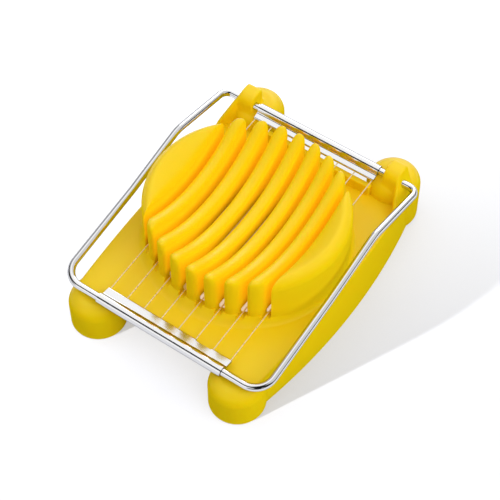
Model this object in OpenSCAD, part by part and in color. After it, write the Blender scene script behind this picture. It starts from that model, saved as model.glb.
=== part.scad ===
// Egg slicer: moulded base with a slotted crown, swinging wire frame,
// two crimped sheet strips and eight cutting wires.
// Row frame: origin under the middle of the part, +Z up, front towards -Y.

/* [Cutting wires] */
// distance between neighbouring cutting wires
wire_pitch = 6.5; // [5:0.1:8]
// number of cutting wires
wire_count = 8; // [6:1:10]
// diameter of a cutting wire
wire_d = 0.4; // [0.3:0.05:0.7]
// height of the wires where they leave the front strip
wire_z_front = 15.9; // [15.7:0.05:16.5]
// height of the wires where they leave the rear strip
wire_z_rear = 20.6; // [19.5:0.1:21.2]
// how far a wire runs into each strip
wire_grip = 2.2; // [1:0.1:2.4]
// clearance round a wire held in a strip
wire_fit = 0.02; // [0.01:0.01:0.05]

/* [Frame wire] */
// diameter of the frame wire
frame_d = 2.5; // [2:0.1:3]
// half distance between the two side rails
rail_x = 37.4; // [36.8:0.1:40]
// front bar, distance in front of the middle
bar_y = -46.8; // [-47.4:0.1:-46.3]
// front bar height
bar_z = 16.7; // [16.3:0.1:18]
// first bend of the rails, along the part
bend1_y = -10.7; // [-20:0.1:0]
// first bend of the rails, height
bend1_z = 22.1; // [20:0.1:24]
// second bend of the rails, along the part
bend2_y = 13.7; // [8:0.1:20]
// second bend of the rails, height
bend2_z = 27.6; // [26:0.1:30]
// bend radius at the two front corners
corner_r = 6.5; // [4:0.1:9]
// bend radius at the two rail bends
rail_bend_r = 9; // [5:0.5:14]
// bend radius where the rails turn into the hinge
knee_r = 3.2; // [2.6:0.1:4]
// gap between the two wire ends inside the rear strip
end_gap = 1.2; // [0.4:0.1:3]

/* [Hinge] */
// hinge axis, distance behind the middle
hinge_y = 40.5; // [40:0.1:42]
// hinge axis height
hinge_z = 22; // [21.5:0.1:23]
// radial clearance of the wire in the ears
hinge_fit = 0.08; // [0.05:0.01:0.1]
// gap between an ear and the end of a strip
ear_gap = 2.2; // [1.2:0.1:3]
// thickness of an ear
ear_t = 5.7; // [5:0.1:7]
// top of the ears
ear_top = 26; // [25:0.1:27.5]
// front face of an ear, ahead of the hinge axis
ear_fore = 2.2; // [1.9:0.1:3]
// radius of the nose over that face
ear_nose = 3.6; // [2.5:0.1:3.8]
// rear end of the flat top, behind the hinge axis
ear_aft = 4.5; // [3.8:0.1:5.2]
// how far the rear face leans back at its foot
ear_lean = 1.2; // [0:0.1:2]
// front end of the wing on the deck's edge, ahead of the hinge axis
wing_fore = 11.5; // [8:0.1:13]
// height of the wing over the deck at its front end
wing_low = 1.8; // [1:0.1:3]
// height of the wing over the deck at the rear leg
wing_high = 3.5; // [3:0.1:5]
// inset of the wing from the deck's edge
wing_inset = 0.7; // [0.5:0.1:1.5]

/* [Strips] */
// sheet thickness of the crimped strips
sheet_t = 0.5; // [0.4:0.05:0.7]
// gap between the sheet and the frame wire
crimp_fit = 0.02; // [0.01:0.01:0.05]
// how far the strips run past the outer wires
strip_end = 0.45; // [0.4:0.05:1.2]
// fillet between the sleeve and the flange
strip_fillet = 0.8; // [0.4:0.1:1]
// front strip: inner edge behind the middle of the front bar
front_edge = 5.1; // [4.6:0.1:6]
// rear strip: inner edge ahead of the hinge axis
rear_edge = 3.8; // [3.6:0.1:4.6]
// the shallow notch in the front strip's edge lies between this wire and the next
notch_gap = 6; // [1:1:7]
// width of that notch
notch_w = 5.6; // [3:0.1:5.6]
// depth of that notch
notch_t = 0.7; // [0.3:0.1:1]

/* [Crown] */
// width of a fin
fin_t = 4.2; // [3.5:0.1:4.6]
// rounding along the top of a fin
fin_r = 1.2; // [0.8:0.1:1.7]
// rounding at the front and rear end of a fin's top
fin_end_r = 1.8; // [1:0.1:2.5]
// front-to-back half length of the crown
crown_b = 30.6; // [29.5:0.1:31.5]
// sideways half width of the crown
crown_a = 33.7; // [32.8:0.1:34]
// radius of the crown's front and rear faces
crown_r = 36; // [34:0.5:40]
// radius of the foot ring on the deck
foot_r = 34.7; // [34.5:0.1:35]
// height of the concave foot over the deck
foot_h = 2.4; // [1.5:0.1:2.5]
// middle of the crown, distance behind the middle of the part
crown_y = -0.7; // [-2:0.1:2]
// radius of the round egg cradle
cradle_r = 42; // [38:0.5:48]
// lowest point of the cradle
cradle_z = 22.8; // [21.5:0.1:24]
// middle of the cradle, distance behind the middle of the part
cradle_y = -2.7; // [-4:0.1:0]
// rim height of the fins over the middle of the crown
rim_z = 35.2; // [34:0.1:37]
// slope of the rim up to the rear, degrees
rim_slope = 3.8; // [0:0.1:5]
// rim height of the two outer segments
seg_z = 34; // [32:0.1:35]
// rounding of the outer segments' rim
seg_round = 4.2; // [3:0.1:6]
// rounding of the outer segments beside the last slots
seg_edge = 2.2; // [1:0.1:3]
// slot floor in the crown wall
slot_z = 15.6; // [15:0.1:15.6]
// underside of the fins
fin_under = 17; // [16.5:0.1:17.5]
// crown wall thickness
crown_wall = 2.4; // [2:0.1:3]

/* [Base] */
// deck top height
deck_z = 14; // [13:0.1:14.2]
// deck thickness
deck_t = 2.4; // [2:0.1:3]
// half width of the deck at its widest
deck_x = 35.6; // [34.5:0.1:36]
// radius of the deck's long edges
deck_r = 480; // [300:10:800]
// half width of the skirts on the floor at the widest
skirt_x = 38.5; // [37:0.1:40]
// radius of the skirts on the floor
skirt_r = 210; // [150:10:400]
// where deck and skirts are widest, behind the middle
wide_y = 1.3; // [-4:0.1:6]
// skirt thickness
wall_t = 2; // [1.6:0.1:2.6]
// front edge of the deck
deck_front = -45.7; // [-46:0.1:-44.5]
// rear edge of the deck between the rear legs
deck_rear = 37.3; // [36.8:0.1:38]
// rear wall thickness
lip_t = 2; // [1.6:0.1:2.4]
// top of the rear wall
lip_z = 18.2; // [16:0.1:18.6]
// underside of the rear wall
lip_under = 3; // [1:0.1:6]

/* [Legs] */
// front leg radius
leg_r = 9; // [8.5:0.1:9.6]
// front legs, half distance
leg_x = 26.7; // [25:0.1:28]
// front legs, distance in front of the middle
leg_y = -44.2; // [-44.5:0.1:-43.5]
// rear leg radius
tail_r = 8.8; // [8.5:0.1:9.6]
// rear legs, half distance
tail_x = 26.7; // [25:0.1:28]
// rear legs, distance behind the middle
tail_y = 44.4; // [43.8:0.1:44.8]
// top of the rear legs
tail_z = 20; // [19:0.1:20.4]
// rounding of the tops of all legs
leg_round = 5; // [3:0.1:6]

/* [Hidden] */
slot_w = wire_pitch - fin_t;
fin_count = wire_count - 1;
strip_x = (wire_count - 1)/2*wire_pitch + strip_end;
ear_x = strip_x + ear_gap;
ear_end = ear_x + ear_t;
seg_x = (wire_count - 1)/2*wire_pitch + slot_w/2;
wr = wire_d/2;
fr = frame_d/2;
sleeve_i = fr + crimp_fit;
sleeve_o = sleeve_i + sheet_t;
crimp_t = 2*sheet_t;
bore_r = fr + hinge_fit;
cradle_c = cradle_z + cradle_r;
front_p = [0, bar_y + front_edge, wire_z_front];
rear_p = [0, hinge_y - rear_edge, wire_z_rear];
wire_slope = atan2(wire_z_rear - wire_z_front, rear_p[1] - front_p[1]);
wire_len = norm(rear_p - front_p);
front_len = norm([front_edge, wire_z_front - bar_z]);
front_tilt = atan2(wire_z_front - bar_z, front_edge);
rear_len = norm([rear_edge, hinge_z - wire_z_rear]);
rear_tilt = atan2(hinge_z - wire_z_rear, rear_edge);
// side arcs of the crown's oval outline: centre side_e, radius side_r
crown_f = crown_r - crown_b;
side_e = (crown_f*crown_f - pow(crown_r - crown_a, 2))/(2*(crown_r - crown_a));
side_r = crown_a - side_e;
edge_c = [seg_x + seg_edge, sqrt(pow(cradle_r + seg_edge, 2) - pow(seg_x + seg_edge, 2))];
edge_t = edge_c*cradle_r/(cradle_r + seg_edge);
shell_rear = 43.7;
eps = 0.01;
hair = 0.03;
core_reach = 0.25;

plastic = [0.96, 0.78, 0.05];
chrome = [0.82, 0.83, 0.85];
steel = [0.72, 0.73, 0.75];

// ---------- helpers ----------
function unit(v) = v/norm(v);
function euler(a, b, c) =
    [atan2(b[2], c[2]), -asin(max(-1, min(1, a[2]))), atan2(a[1], a[0])];

module side_copies() {
    children();
    mirror([1, 0, 0])
        children();
}

// round bar between two points
module rod(p, q, r) {
    w = unit(q - p);
    translate(p)
        rotate([0, acos(w[2]), atan2(w[1], w[0])])
            cylinder(r = r, h = norm(q - p), $fn = 32);
}

// straight run from a bend to the next: hairline short at both ends, with a
// core a hair thinner that reaches into the bends and joins the runs
module run(p, q, r) {
    w = unit(q - p);
    rod(p + w*hair, q - w*hair, r);
    rod(p - w*core_reach, q + w*core_reach, r - hair);
}

// bend of a round bar at corner b, coming from a and leaving to c
module elbow(a, b, c, r, bend) {
    u = unit(b - a);
    v = unit(c - b);
    n = unit(v - (v*u)*u);
    phi = acos(u*v);
    s = b - u*bend*tan(phi/2);
    translate(s + n*bend)
        rotate(euler(-n, u, cross(-n, u)))
            rotate_extrude(angle = phi, $fn = 96)
                translate([bend, 0])
                    circle(r = r, $fn = 32);
}

function trim(a, b, c, bend) = bend*tan(acos(unit(b - a)*unit(c - b))/2);

// ---------- base ----------
// barrel outline between two long arcs
module outline(half, radius, inset, y0, y1) {
    intersection() {
        translate([half - radius, wide_y])
            circle(r = radius - inset, $fn = 480);
        translate([radius - half, wide_y])
            circle(r = radius - inset, $fn = 480);
        translate([-60, y0])
            square([120, y1 - y0]);
    }
}

module slope_body(inset, y0, y1, z0, z1) {
    hull() {
        translate([0, 0, z0])
            linear_extrude(eps)
                outline(skirt_x, skirt_r, inset, y0, y1);
        translate([0, 0, z1 - eps])
            linear_extrude(eps)
                outline(deck_x, deck_r, inset, y0, y1);
    }
}

// deck and the two flared skirts
module shell() {
    difference() {
        slope_body(0, deck_front, shell_rear, 0, deck_z);
        slope_body(wall_t, deck_front - 5, shell_rear + 5, -1, deck_z - deck_t);
        translate([-tail_x + 7, deck_rear, -2])
            cube([2*tail_x - 14, 20, 40]);
    }
}

// round column with a rounded top edge
module column(r, h, round) {
    rotate_extrude($fn = 96) {
        square([r - round, h]);
        square([r, h - round]);
        translate([r - round, h - round])
            intersection() {
                circle(r = round, $fn = 64);
                square(round);
            }
    }
}

module legs() {
    side_copies() {
        translate([leg_x, leg_y, 0])
            column(leg_r, deck_z, leg_round);
        translate([tail_x, tail_y, 0])
            column(tail_r, tail_z, leg_round);
    }
}

module leg_hollows() {
    side_copies() {
        translate([leg_x, leg_y, -1])
            column(leg_r - wall_t, deck_z - deck_t + 1, leg_round - wall_t);
        translate([tail_x, tail_y, -1])
            column(tail_r - wall_t, tail_z - deck_t + 1, leg_round - wall_t);
    }
}

// side view of an ear: upright front, round nose, flat top
module ear_profile() {
    y0 = hinge_y - ear_fore;
    low = deck_z - deck_t;
    translate([y0 + ear_nose, ear_top - ear_nose])
        circle(r = ear_nose, $fn = 64);
    polygon([
        [y0, low],
        [y0, ear_top - ear_nose],
        [y0 + ear_nose, ear_top],
        [hinge_y + ear_aft, ear_top],
        [hinge_y + ear_aft + ear_lean, low]]);
}

// wing that runs from an ear out and forward to the deck's edge
module wing() {
    hull() {
        translate([ear_end - 1, 0, 0])
            rotate([90, 0, 90])
                linear_extrude(0.9)
                    ear_profile();
        translate([deck_x - wing_inset - 0.2, 0, 0])
            rotate([90, 0, 90])
                linear_extrude(0.2)
                    polygon([
                        [hinge_y - wing_fore, deck_z - deck_t],
                        [hinge_y - wing_fore, deck_z],
                        [hinge_y - wing_fore + 2, deck_z + wing_low],
                        [tail_y - 1, deck_z + wing_high],
                        [tail_y - 1, deck_z - deck_t]]);
    }
}

module ears() {
    side_copies() {
        translate([ear_x, 0, 0])
            rotate([90, 0, 90])
                linear_extrude(ear_t)
                    ear_profile();
        wing();
    }
}

module rear_wall() {
    translate([-tail_x + 4, deck_rear - lip_t, lip_under])
        cube([2*tail_x - 8, lip_t, lip_z - lip_under]);
}

// concave foot of the crown on the deck
module crown_foot() {
    translate([0, crown_y, 0])
        rotate_extrude($fn = 180)
            polygon([
                [0, deck_z - deck_t],
                [foot_r, deck_z - deck_t],
                [foot_r, deck_z],
                [foot_r - 1.2, deck_z + 0.2],
                [foot_r - 2.3, deck_z + 0.7],
                [foot_r - 3.2, deck_z + 1.4],
                [foot_r - 3.9, deck_z + foot_h],
                [0, deck_z + foot_h]]);
}

// the fins' block: between two large arcs, cut to the rim
module fin_block() {
    difference() {
        intersection() {
            translate([0, crown_y + crown_f, deck_z - 1])
                cylinder(r = crown_r, h = 30, $fn = 180);
            translate([0, crown_y - crown_f, deck_z - 1])
                cylinder(r = crown_r, h = 30, $fn = 180);
            translate([-seg_x + slot_w/2, crown_y - 60, deck_z - 2])
                cube([2*seg_x - slot_w, 120, 40]);
        }
        translate([0, crown_y, rim_z])
            rotate([rim_slope, 0, 0]) {
                translate([-60, -60, 0])
                    cube([120, 120, 40]);
                translate([0, crown_f, 0])
                    end_rounding();
                translate([0, -crown_f, 0])
                    end_rounding();
            }
    }
}

// ring that rounds the upper edge of the crown's front or rear face
module end_rounding() {
    rotate_extrude($fn = 180)
        difference() {
            translate([crown_r - fin_end_r, -fin_end_r])
                square(fin_end_r + 2);
            translate([crown_r - fin_end_r, -fin_end_r])
                circle(r = fin_end_r, $fn = 48);
        }
}

// the two outer segments with their rounded rim
module side_blocks() {
    side_copies()
        intersection() {
            translate([side_e, crown_y, deck_z - 1])
                cylinder(r = side_r, h = 30, $fn = 180);
            translate([seg_x - slot_w/2, crown_y - 60, deck_z - 2])
                cube([40, 120, 40]);
            translate([side_e, crown_y, seg_z])
                rotate([rim_slope, 0, 0])
                    translate([0, 0, -40])
                        column(side_r + 0.4, 40, seg_round);
        }
}

// profile swung about the cradle axis: takes away everything over the fins
module cradle_profile() {
    for (k = [-(fin_count - 1)/2 : (fin_count - 1)/2]) {
        x = k*wire_pitch;
        rk = sqrt(cradle_r*cradle_r - x*x);
        translate([x - fin_t/2 - slot_w/2, 0])
            square([wire_pitch, rk]);
        for (s = [-1, 1]) {
            difference() {
                translate([x + s*(fin_t/2 - fin_r/2) - fin_r/2, rk - eps])
                    square([fin_r, fin_r + eps]);
                translate([x + s*(fin_t/2 - fin_r), rk + fin_r])
                    circle(r = fin_r, $fn = 48);
            }
        }
    }
    for (s = [0, 1])
        mirror([s, 0]) {
            intersection() {
                circle(r = cradle_r, $fn = 256);
                translate([seg_x - slot_w/2, 0])
                    square([20, 60]);
            }
            difference() {
                polygon([
                    [seg_x - slot_w/2, 20],
                    [edge_t[0], 20],
                    edge_t,
                    edge_c,
                    [seg_x - slot_w/2, edge_c[1]]]);
                translate(edge_c)
                    circle(r = seg_edge, $fn = 64);
            }
        }
}

module cradle_cut() {
    translate([0, cradle_y, cradle_c])
        rotate([0, 90, 0])
            rotate_extrude($fn = 256)
                rotate([0, 0, 90])
                    mirror([0, 1])
                        cradle_profile();
}

module slots() {
    for (i = [1 : wire_count])
        translate([(i - (wire_count + 1)/2)*wire_pitch - slot_w/2, crown_y - crown_b - 3, slot_z])
            cube([slot_w, 2*crown_b + 6, 40]);
}

// hollow under the fins and in the two outer segments
module crown_hollow() {
    intersection() {
        translate([0, crown_y + crown_f, -2])
            cylinder(r = crown_r - crown_wall, h = fin_under + 2, $fn = 180);
        translate([0, crown_y - crown_f, -2])
            cylinder(r = crown_r - crown_wall, h = fin_under + 2, $fn = 180);
        translate([-crown_a + crown_wall, crown_y - 60, -3])
            cube([2*(crown_a - crown_wall), 120, 60]);
    }
    side_copies()
        intersection() {
            translate([side_e, crown_y, fin_under - 1])
                cylinder(r = side_r - crown_wall, h = 12.5, $fn = 180);
            translate([seg_x + 2.2, crown_y - 12, fin_under - 2])
                cube([20, 24, 20]);
        }
}

module base() {
    color(plastic)
        difference() {
            union() {
                shell();
                legs();
                ears();
                rear_wall();
                difference() {
                    union() {
                        crown_foot();
                        fin_block();
                        side_blocks();
                    }
                    cradle_cut();
                    slots();
                }
            }
            crown_hollow();
            leg_hollows();
            translate([-60, hinge_y, hinge_z])
                rotate([0, 90, 0])
                    cylinder(r = bore_r, h = 120, $fn = 48);
        }
}

// ---------- frame ----------
module frame_wire() {
    e = [end_gap/2, hinge_y, hinge_z];
    k = [rail_x, hinge_y, hinge_z];
    b2 = [rail_x, bend2_y, bend2_z];
    b1 = [rail_x, bend1_y, bend1_z];
    c = [rail_x, bar_y, bar_z];
    m = [0, bar_y, bar_z];
    tk = trim(e, k, b2, knee_r);
    t2 = trim(k, b2, b1, rail_bend_r);
    t1 = trim(b2, b1, c, rail_bend_r);
    tc = trim(b1, c, m, corner_r);
    color(chrome) {
        run(c - [tc, 0, 0], [tc - rail_x, bar_y, bar_z], fr);
        side_copies() {
            rod(e, k - [tk + hair, 0, 0], fr);
            rod(k - [tk + 1, 0, 0], k - [tk - core_reach, 0, 0], fr - hair);
            elbow(e, k, b2, fr, knee_r);
            run(k + unit(b2 - k)*tk, b2 - unit(b2 - k)*t2, fr);
            elbow(k, b2, b1, fr, rail_bend_r);
            run(b2 + unit(b1 - b2)*t2, b1 - unit(b1 - b2)*t1, fr);
            elbow(b2, b1, c, fr, rail_bend_r);
            run(b1 + unit(c - b1)*t1, c - unit(c - b1)*tc, fr);
            elbow(b1, c, m, fr, corner_r);
        }
    }
}

// ---------- strips ----------
// sheet folded round a bar along X, its double edge running towards +Y
// cross-section: sleeve, two-layer flange and the bends between them
module strip_profile(len) {
    w = crimp_t/2 + strip_fillet;
    u = sqrt(pow(sleeve_o + strip_fillet, 2) - w*w);
    difference() {
        union() {
            circle(r = sleeve_o, $fn = 48);
            translate([0, -crimp_t/2])
                square([len, crimp_t]);
            for (s = [0, 1])
                mirror([0, s])
                    difference() {
                        polygon([[0, 0], [u, 0], [u, w]]);
                        translate([u, w])
                            circle(r = strip_fillet, $fn = 48);
                    }
        }
        circle(r = sleeve_i, $fn = 48);
    }
}

module strip_body(len) {
    rotate([90, 0, 90])
        translate([0, 0, -strip_x])
            linear_extrude(2*strip_x)
                strip_profile(len);
}

module wire_line(i, r, grow) {
    x = (i - (wire_count + 1)/2)*wire_pitch;
    translate([x, front_p[1], front_p[2]])
        rotate([wire_slope, 0, 0])
            translate([0, -wire_grip - grow, 0])
                rotate([-90, 0, 0])
                    cylinder(r = r, h = wire_len + 2*wire_grip + 2*grow, $fn = 24);
}

module wire_channels() {
    for (i = [1 : wire_count])
        wire_line(i, wr + wire_fit, wire_fit);
}

module notch() {
    x = (notch_gap - wire_count/2)*wire_pitch;
    translate([x - notch_w/2, front_p[1] - notch_t, front_p[2] - crimp_t])
        cube([notch_w, notch_t + crimp_t, 2*crimp_t]);
}

module front_strip() {
    color(chrome)
        difference() {
            translate([0, bar_y, bar_z])
                rotate([front_tilt, 0, 0])
                    strip_body(front_len);
            wire_channels();
            notch();
        }
}

module rear_strip() {
    color(chrome)
        difference() {
            translate([0, hinge_y, hinge_z])
                rotate([rear_tilt, 0, 0])
                    mirror([0, 1, 0])
                        strip_body(rear_len);
            wire_channels();
        }
}

// ---------- cutting wires ----------
module cutting_wire(i) {
    color(steel)
        wire_line(i, wr, 0);
}

base();
frame_wire();
front_strip();
rear_strip();
cutting_wire(1);  // cutting_wire_1
cutting_wire(2);  // cutting_wire_2
cutting_wire(3);  // cutting_wire_3
cutting_wire(4);  // cutting_wire_4
cutting_wire(5);  // cutting_wire_5
cutting_wire(6);  // cutting_wire_6
cutting_wire(7);  // cutting_wire_7
cutting_wire(8);  // cutting_wire_8
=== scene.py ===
"""Egg slicer with a moulded base, a hinged wire frame and a row of cutting wires.

The fixed frame gives every piece its place. Run as a script, it dresses that frame: it models the
base and the wire parts with bmesh operators, gives each finish its own node material, and sets a
plain pale stage with a camera.
"""

import math
from types import SimpleNamespace

import bmesh
import bpy
from bpy.props import FloatProperty, FloatVectorProperty, IntProperty, PointerProperty
from mathutils import Matrix, Vector


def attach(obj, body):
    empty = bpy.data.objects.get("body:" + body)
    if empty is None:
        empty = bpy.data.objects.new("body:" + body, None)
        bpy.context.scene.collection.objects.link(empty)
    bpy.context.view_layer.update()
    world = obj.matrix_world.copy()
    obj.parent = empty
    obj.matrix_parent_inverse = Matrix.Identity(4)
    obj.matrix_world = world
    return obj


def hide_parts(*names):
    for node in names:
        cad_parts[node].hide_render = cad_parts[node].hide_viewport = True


bl_info = {
    "name": "Egg slicer",
    "version": (1, 0, 0),
    "blender": (4, 5, 0),
    "location": "3D View > Sidebar > Egg slicer",
    "description": "Models an egg slicer with its moulded base, wire frame and cutting wires",
    "category": "Add Mesh",
}

MM = 0.001
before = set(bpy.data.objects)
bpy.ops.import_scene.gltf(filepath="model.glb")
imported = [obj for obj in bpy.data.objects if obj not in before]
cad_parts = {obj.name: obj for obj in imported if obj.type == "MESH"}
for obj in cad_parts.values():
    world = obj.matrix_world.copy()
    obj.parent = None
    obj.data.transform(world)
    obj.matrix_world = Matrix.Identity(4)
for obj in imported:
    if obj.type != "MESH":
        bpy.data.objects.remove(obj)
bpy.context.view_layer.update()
WIRE_NODES = sorted(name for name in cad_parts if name.startswith("cutting_wire"))
BASE_BODY = "base_body"
SWING_BODY = "frame"

# Values for making the meshes, with lengths in millimetres.
HAIR = 0.01  # how far a face stops short of one that it would otherwise lie on
BELOW = -2  # where a tool that cuts upwards starts, under the worktop
PAST = 20  # how far a tool runs past what it cuts
ACROSS = 60  # half length of a tool that crosses the whole part
ROOT = 1.2  # how far fins and segments reach down into the wall under the slots
SKIN_VOXEL = 0.28  # voxel of the skin that is grown over a rear leg and its ear
SKIN_SMOOTHING = 40  # rounds of smoothing that such a skin gets
CORNER = 0.5  # radians between two faces past which their edge is a corner
SMOOTH = 32  # degrees up to which an edge is shaded smooth


# ---- properties


def length(name, mm, description):
    """A length or a coordinate, with its default in millimetres."""
    return FloatProperty(
        name=name, description=description, default=mm * MM, unit="LENGTH", precision=5
    )


def angle(name, degrees, description):
    """An angle, with its default in degrees."""
    return FloatProperty(
        name=name, description=description, default=math.radians(degrees), unit="ROTATION"
    )


def colour(name, rgb, description):
    """A linear colour."""
    return FloatVectorProperty(
        name=name, description=description, default=rgb, subtype="COLOR", min=0, max=1
    )


def share(name, value, description):
    """A plain number."""
    return FloatProperty(name=name, description=description, default=value)


class BaseSizes(bpy.types.PropertyGroup):
    """Deck, skirts and legs of the moulded base."""

    deck_z: length("Deck height", 14, "Top of the deck over the worktop")
    deck_t: length("Deck thickness", 2.4, "Thickness of the deck")
    deck_x: length("Deck half width", 35.6, "Half width of the deck at its widest")
    deck_arc: length("Deck edge radius", 480, "Radius of the deck's long edges")
    skirt_x: length("Skirt half width", 38.5, "Half width over the skirts at the worktop")
    skirt_arc: length("Skirt radius", 210, "Radius of the skirts at the worktop")
    wide_y: length("Widest place", 1.3, "Where deck and skirts are widest")
    wall: length("Wall", 2, "Thickness of the skirts and of the legs")
    front: length("Deck front", -45.7, "Front edge of the deck")
    rear: length("Deck rear", 37.3, "Rear edge of the deck between the rear legs")
    tail: length("Skirt rear", 43.7, "Rear end of the skirts")
    edge: length("Edge rounding", 0.6, "Rounding of the deck's edges")
    leg_r: length("Front leg radius", 9, "Radius of a front leg")
    leg_x: length("Front leg place", 26.7, "Front legs, distance from the middle")
    leg_y: length("Front leg position", -44.2, "Front legs, along the part")
    tail_r: length("Rear leg radius", 8.8, "Radius of a rear leg")
    tail_x: length("Rear leg place", 26.7, "Rear legs, distance from the middle")
    tail_y: length("Rear leg position", 44.4, "Rear legs, along the part")
    tail_z: length("Rear leg height", 20, "Top of the rear legs")
    leg_round: length("Leg rounding", 5, "Rounding of the legs' tops")
    foot_round: length("Foot rounding", 0.7, "Rounding where a leg meets the worktop")
    lip_t: length("Rear wall", 2, "Thickness of the wall behind the crown")
    lip_z: length("Rear wall top", 18.2, "Top of the wall behind the crown")
    lip_under: length("Rear wall underside", 3, "Underside of the wall behind the crown")


class EarSizes(bpy.types.PropertyGroup):
    """Ears that carry the hinge, with the wings that brace them."""

    x: length("Ear place", 25.4, "Inner face of an ear, distance from the middle")
    t: length("Ear thickness", 5.7, "Thickness of an ear")
    top: length("Ear top", 26, "Top of an ear")
    fore: length("Ear front", 2.2, "Front face of an ear, ahead of the hinge axis")
    nose: length("Ear nose", 3.6, "Radius of the nose over that face")
    aft: length("Ear rear", 4.5, "Rear end of the flat top, behind the hinge axis")
    lean: length("Ear lean", 1.2, "How far the rear face leans back at its foot")
    edge: length("Ear rounding", 0.35, "Rounding of an ear's edges")
    wing_fore: length("Wing front", 11.5, "Front end of the wing, ahead of the hinge axis")
    wing_low: length("Wing low", 1.8, "Height of the wing over the deck at its front end")
    wing_high: length("Wing high", 3.5, "Height of the wing over the deck at the rear leg")
    wing_inset: length("Wing inset", 0.7, "Inset of the wing from the deck's edge")
    bore: length("Bore radius", 1.33, "Radius of the hinge bore")


class CrownSizes(bpy.types.PropertyGroup):
    """Slotted crown that holds the egg."""

    fins: IntProperty(name="Fins", description="Number of fins", default=7, min=3)
    pitch: length("Pitch", 6.5, "Distance between neighbouring fins")
    fin_t: length("Fin width", 4.2, "Width of a fin")
    fin_round: length("Fin rounding", 1.85, "Rounding along the top of a fin")
    end_round: length("Fin end rounding", 2.7, "Rounding at the front and rear top of a fin")
    fin_step: length("Fin step", 0.6, "Distance between the points along a fin's edge")
    half_y: length("Half length", 30.6, "Half length of the crown")
    half_x: length("Half width", 33.7, "Half width of the crown")
    end_arc: length("End radius", 36, "Radius of the crown's front and rear faces")
    y: length("Crown middle", -0.7, "Middle of the crown, along the part")
    bowl_r: length("Cradle radius", 42, "Radius of the egg cradle")
    bowl_z: length("Cradle low", 22.8, "Lowest point of the cradle")
    bowl_y: length("Cradle middle", -2.7, "Middle of the cradle, along the part")
    rim_z: length("Fin rim", 35.2, "Rim height of the fins over the crown's middle")
    seg_z: length("Segment rim", 34.5, "Rim height of the two outer segments")
    slope: angle("Rim slope", 3.8, "Slope of the rim up to the rear")
    seg_round: length("Segment rounding", 4.2, "Rounding of an outer segment's rim")
    seg_edge: length("Slot edge", 1.8, "Rounding of an outer segment beside its slot")
    blend: length("Crest blend", 1.6, "Softness of a fin's crest between cradle and rim")
    seg_blend: length("Segment crest", 2.8, "Softness of a segment's crest")
    foot_r: length("Foot radius", 34.8, "Radius of the foot ring on the deck")
    foot_h: length("Foot height", 2.4, "Height of the concave foot over the deck")
    slot_z: length("Slot floor", 15.6, "Floor of the slots in the crown's wall")
    under: length("Fin underside", 17, "Underside of the fins")
    wall: length("Crown wall", 2.4, "Wall of the crown under the fins")


class WireSizes(bpy.types.PropertyGroup):
    """Bent frame wire, whose front bar and hinge also place the crimped strips."""

    frame_d: length("Frame wire", 2.5, "Diameter of the frame wire")
    rail_x: length("Rail place", 37.4, "Side rails, distance from the middle")
    bar_y: length("Front bar", -46.8, "Front bar, along the part")
    bar_z: length("Front bar height", 16.7, "Front bar, height")
    bend1_y: length("First bend", -10.7, "First bend of the rails, along the part")
    bend1_z: length("First bend height", 22.1, "First bend of the rails, height")
    bend2_y: length("Second bend", 13.7, "Second bend of the rails, along the part")
    bend2_z: length("Second bend height", 27.6, "Second bend of the rails, height")
    corner_r: length("Corner radius", 6.5, "Bend radius of the front corners")
    bend_r: length("Rail radius", 9, "Bend radius of the rail bends")
    knee_r: length("Knee radius", 3.2, "Bend radius at the hinge")
    hinge_y: length("Hinge", 40.5, "Hinge axis, along the part")
    hinge_z: length("Hinge height", 22, "Hinge axis, height")
    end_gap: length("End gap", 1.2, "Gap between the wire ends inside the rear strip")


class StripSizes(bpy.types.PropertyGroup):
    """Sheet strips folded round the frame wire."""

    half_x: length("Half width", 23.2, "Half width of a strip")
    sleeve_r: length("Sleeve radius", 1.75, "Outer radius of the sleeve")
    bore: length("Sleeve bore", 1.27, "Inner radius of the sleeve")
    sheet: length("Flange", 1.0, "Thickness of the double flange")
    fillet: length("Fillet", 0.8, "Bend between the sleeve and the flange")
    front_y: length("Front reach", 5.1, "Reach of the front flange along the part")
    front_z: length("Front rise", -0.8, "Rise of the front flange")
    rear_y: length("Rear reach", -3.8, "Reach of the rear flange along the part")
    rear_z: length("Rear rise", -1.4, "Rise of the rear flange")
    notch_x: length("Notch", 13.0, "Middle of the notch in the front flange")
    notch_w: length("Notch width", 5.6, "Width of the notch")
    notch_t: length("Notch depth", 0.7, "Depth of the notch")


class Finishes(bpy.types.PropertyGroup):
    """Colours of the finishes."""

    plastic: colour("Plastic", (0.93, 0.66, 0.005), "Moulded plastic")
    plastic_deep: colour("Plastic, deep", (0.95, 0.61, 0.003), "Tint inside the plastic")
    # Painted glow: an emission colour that stands in for light passing through the plastic into
    # its hollows.
    painted_glow: colour("Plastic, glow", (0.95, 0.54, 0.01), "Light that leaves it in its hollows")
    chrome: colour("Chrome", (0.72, 0.72, 0.73), "Plated wire and sheet")
    steel: colour("Steel", (0.92, 0.76, 0.44), "Drawn cutting wire")
    # Painted shade and bounce light: the tan that the floor shows under the part.
    under: colour("Floor, under", (0.45, 0.25, 0.06), "Floor in the part's own light and shade")
    floor: colour("Floor", (0.29, 0.295, 0.32), "Floor under the part")


class StageSizes(bpy.types.PropertyGroup):
    """Camera and lamps."""

    lens: share("Lens", 111.79, "Focal length of the camera in millimetres")
    aim: FloatVectorProperty(
        name="Aim",
        description="Point that the camera looks at",
        default=(5.97 * MM, -7.56 * MM, 20.0 * MM),
        subtype="TRANSLATION",
        precision=5,
    )
    turn: angle("Azimuth", 35.01, "Camera azimuth")
    rise: angle("Elevation", 54.52, "Camera elevation")
    roll: angle("Roll", -0.24, "Camera roll")
    reach: length("Distance", 483.23, "Distance from the camera to its aim")
    ambient: share("Ambient", 0.39, "Strength of the even light from all round")
    sun: share("Low sun", 20.0, "Strength of the low lamp that throws the shadow on the floor")


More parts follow.
